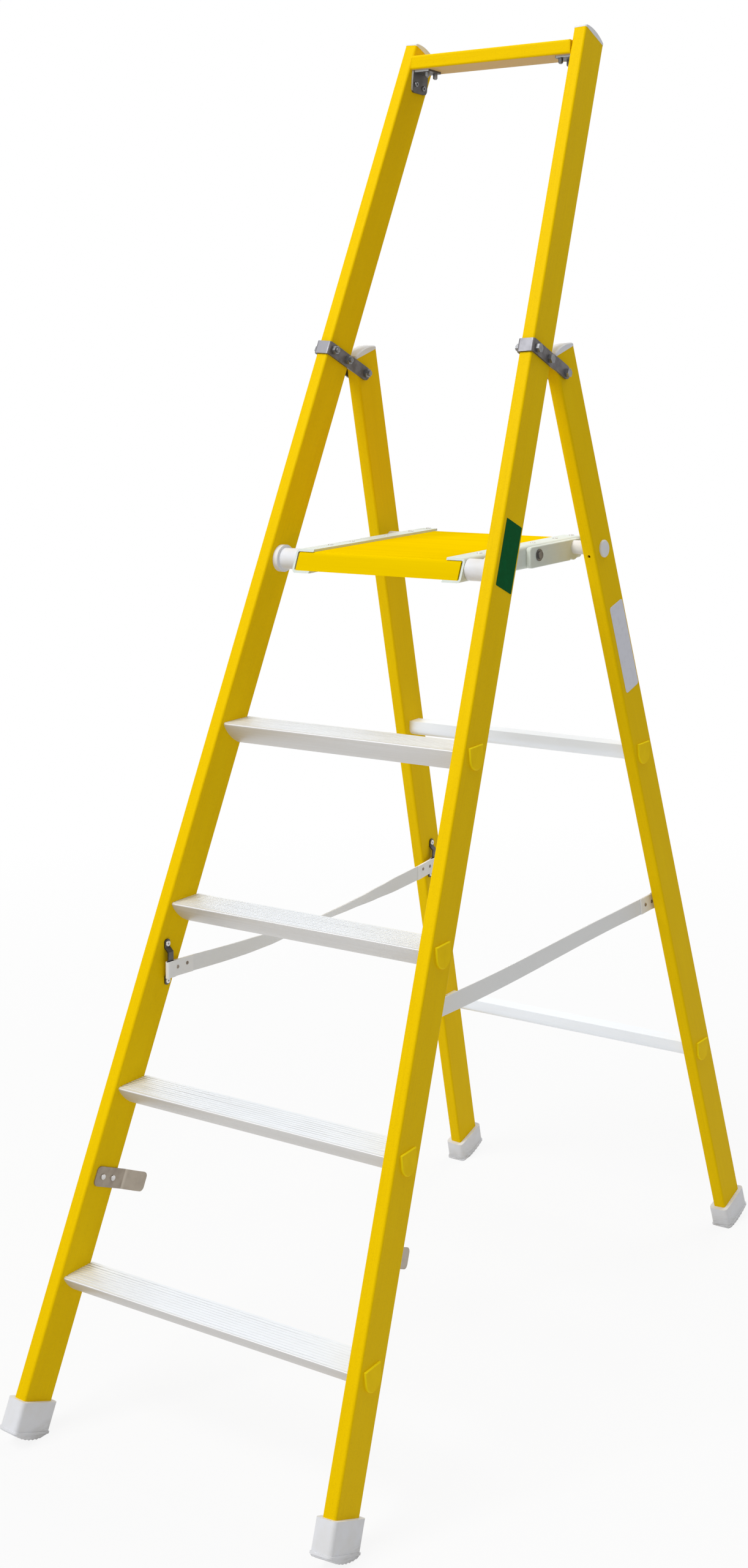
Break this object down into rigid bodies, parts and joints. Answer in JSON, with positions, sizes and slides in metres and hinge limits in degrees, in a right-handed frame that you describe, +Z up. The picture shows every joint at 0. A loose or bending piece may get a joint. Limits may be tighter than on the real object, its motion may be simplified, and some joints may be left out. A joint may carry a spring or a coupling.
{
  "type": "step ladder",
  "caption": "Folding platform step ladder with tapering fibreglass stiles, ribbed treads, tip-up deck on link arms, guard rail and webbing stays.",
  "frame": {"origin": "middle of the footprint on the ground", "axes": "+Z up, -Y towards the climbing side, X across the width"},
  "size_m": [0.5822, 1.2454, 1.9808],
  "materials": {
    "yellow_fibreglass": "satin, fine fibre speckle",
    "yellow_deck": "satin",
    "yellow_plastic": "satin moulded",
    "white_plastic": "matt moulded",
    "white_aluminium": "white powder coat",
    "zinc_steel": "zinc plated",
    "dark_steel": "dark oxide",
    "webbing": "woven"
  },
  "bodies": {
    "front_frame": {"front_stile_left": "yellow_fibreglass", "front_stile_right": "yellow_fibreglass", "front_stile_caps": "white_plastic", "step_1": "white_aluminium", "step_2": "white_aluminium", "step_3": "white_aluminium", "step_4": "white_aluminium", "step_plugs": "yellow_plastic", "front_boot_left": "white_plastic", "front_boot_right": "white_plastic", "top_rail": "yellow_fibreglass", "rail_bracket_left": "zinc_steel", "rail_bracket_right": "zinc_steel", "hinge_strap_left": "zinc_steel", "hinge_strap_right": "zinc_steel", "strap_bolts": "zinc_steel", "hinge_pivots": "zinc_steel", "pivot_rod": "dark_steel", "pivot_bush_left": "white_plastic", "pivot_bush_right": "white_plastic", "fold_clip_left": "zinc_steel", "fold_clip_right": "zinc_steel", "front_loops": "zinc_steel", "stay_left": "webbing", "stay_right": "webbing"},
    "rear_frame": {"rear_stile_left": "yellow_fibreglass", "rear_stile_right": "yellow_fibreglass", "rear_stile_caps": "white_plastic", "cross_bar_lower": "white_aluminium", "cross_bar_upper": "white_aluminium", "cross_bar_plugs": "yellow_plastic", "rear_boot_left": "white_plastic", "rear_boot_right": "white_plastic", "rear_tube_left": "white_aluminium", "rear_tube_right": "white_aluminium", "rear_tube_caps": "white_plastic", "rear_loops": "zinc_steel"},
    "platform": {"deck": "yellow_deck", "platform_channel_left": "white_aluminium", "platform_channel_right": "white_aluminium"},
    "link_arms": {"link_arm_left": "white_aluminium", "link_arm_right": "white_aluminium", "link_bolts": "dark_steel"}
  },
  "joints": [
    {"name": "frame_fold", "type": "hinge", "parent": "front_frame", "child": "rear_frame", "pos_m": [0, 0.16099, 1.47548], "axis": [-1, 0, 0], "range_deg": [0, 40.4], "deforming": ["stay_left", "stay_right"]},
    {"name": "platform_tip", "type": "hinge", "parent": "front_frame", "child": "platform", "pos_m": [0, -0.04056, 1.206], "axis": [1, 0, 0], "range_deg": [0, 33.29]},
    {"name": "arm_swing", "type": "hinge", "parent": "rear_frame", "child": "link_arms", "pos_m": [0, 0.2494, 1.209], "axis": [-1, 0, 0], "range_deg": [0, 81.18]}
  ],
  "couplings": [
    {"joint": "platform_tip", "follows": "frame_fold", "ratio": 0.82283},
    {"joint": "arm_swing", "follows": "frame_fold", "ratio": 2.0082}
  ]
}
